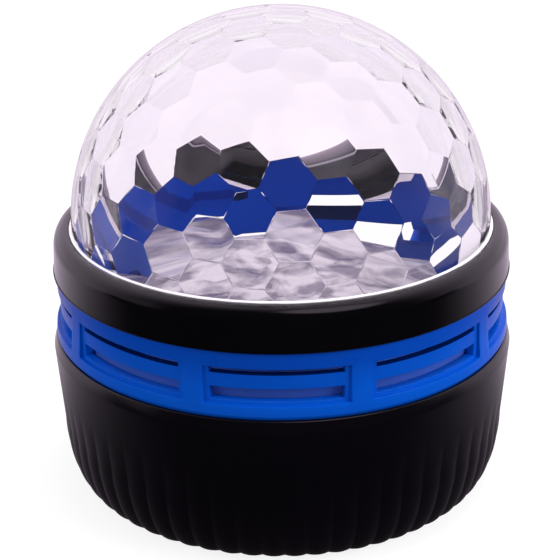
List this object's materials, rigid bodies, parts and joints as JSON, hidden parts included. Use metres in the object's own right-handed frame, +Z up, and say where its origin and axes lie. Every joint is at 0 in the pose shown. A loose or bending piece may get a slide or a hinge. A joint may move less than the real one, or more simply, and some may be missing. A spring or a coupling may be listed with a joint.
{
  "type": "magic ball light",
  "caption": "Round table light with a clear faceted dome over a motor-turned pattern wheel, a blue vented ring and a fluted black base.",
  "frame": {"origin": "middle of the footprint, on the surface that the feet rest on", "axes": "+Z up, front towards -Y, power inlet towards +Y"},
  "size_m": [0.0912, 0.0912, 0.0957],
  "materials": {
    "clear_cover": "clear polystyrene, polished outside, flat facets inside",
    "gloss_black": "high gloss black",
    "blue_shell": "saturated blue, slightly translucent",
    "satin_black": "satin black",
    "foot_rubber": "matt black rubber",
    "screw_steel": "zinc plated",
    "clear_wheel": "clear with a crushed ice surface",
    "shaft_steel": "ground",
    "bush_brass": "turned",
    "gear_plastic": "natural white acetal",
    "motor_steel": "drawn can",
    "motor_plastic": "black moulding",
    "frame_plastic": "black moulding",
    "deck_blue": "saturated blue, as the ring around it",
    "white_board": "white solder mask",
    "led_red": "red light source",
    "led_green": "green light source",
    "led_blue": "blue light source",
    "led_lens": "clear silicone",
    "green_board": "green solder mask",
    "chip_black": "moulded black",
    "capacitor_sleeve": "dark blue sleeve",
    "socket_steel": "tin plated shell",
    "button_black": "gloss black",
    "lead_red": "red insulation",
    "lead_white": "white insulation"
  },
  "bodies": {
    "housing": {"dome": "clear_cover", "collar_ring": "gloss_black", "vent_ring": "blue_shell", "base_shell": "satin_black", "bottom_plate": "satin_black", "rubber_feet": "foot_rubber", "bottom_screws": "screw_steel", "shaft_bush": "bush_brass", "idler_pins": "shaft_steel", "motor_can": "motor_steel", "motor_end_cap": "motor_plastic", "motor_screws": "screw_steel", "gearbox_plate": "frame_plastic", "gearbox_screws": "screw_steel", "reflector_deck": "deck_blue", "deck_screws": "screw_steel", "led_board": "white_board", "led_board_screws": "screw_steel", "red_leds": "led_red", "green_leds": "led_green", "blue_leds": "led_blue", "led_lenses": "led_lens", "control_board": "green_board", "control_chip": "chip_black", "capacitor": "capacitor_sleeve", "board_screws": "screw_steel", "power_socket": "socket_steel", "power_socket_tongue": "chip_black", "switch_body": "chip_black", "motor_leads": "lead_red", "led_leads": "lead_white"},
    "wheel": {"pattern_wheel": "clear_wheel", "wheel_screw": "screw_steel", "wheel_shaft": "shaft_steel", "output_gear": "gear_plastic"},
    "slow_gear": {"slow_idler": "gear_plastic"},
    "fast_gear": {"fast_idler": "gear_plastic"},
    "rotor": {"motor_shaft": "shaft_steel", "motor_pinion": "bush_brass"},
    "button": {"mode_button": "button_black", "switch_plunger": "frame_plastic"}
  },
  "joints": [
    {"name": "wheel_spin", "type": "hinge", "parent": "housing", "child": "wheel", "pos_m": [0, 0, 0.04], "axis": [0, 0, 1], "continuous": true},
    {"name": "slow_gear_spin", "type": "hinge", "parent": "housing", "child": "slow_gear", "pos_m": [0.0075, 0.01299, 0.03], "axis": [0, 0, 1], "continuous": true},
    {"name": "fast_gear_spin", "type": "hinge", "parent": "housing", "child": "fast_gear", "pos_m": [-0.0075, 0.01299, 0.03], "axis": [0, 0, 1], "continuous": true},
    {"name": "rotor_spin", "type": "hinge", "parent": "housing", "child": "rotor", "pos_m": [-0.015, 0, 0.027], "axis": [0, 0, 1], "continuous": true},
    {"name": "button_press", "type": "slide", "parent": "housing", "child": "button", "axis": [-0.4695, -0.8829, 0], "range_m": [0, 0.0005], "stiffness_N_per_m": 600, "springref_m": -0.0005}
  ],
  "couplings": [
    {"joint": "slow_gear_spin", "follows": "wheel_spin", "ratio": -4},
    {"joint": "fast_gear_spin", "follows": "wheel_spin", "ratio": 16},
    {"joint": "rotor_spin", "follows": "wheel_spin", "ratio": -64}
  ]
}
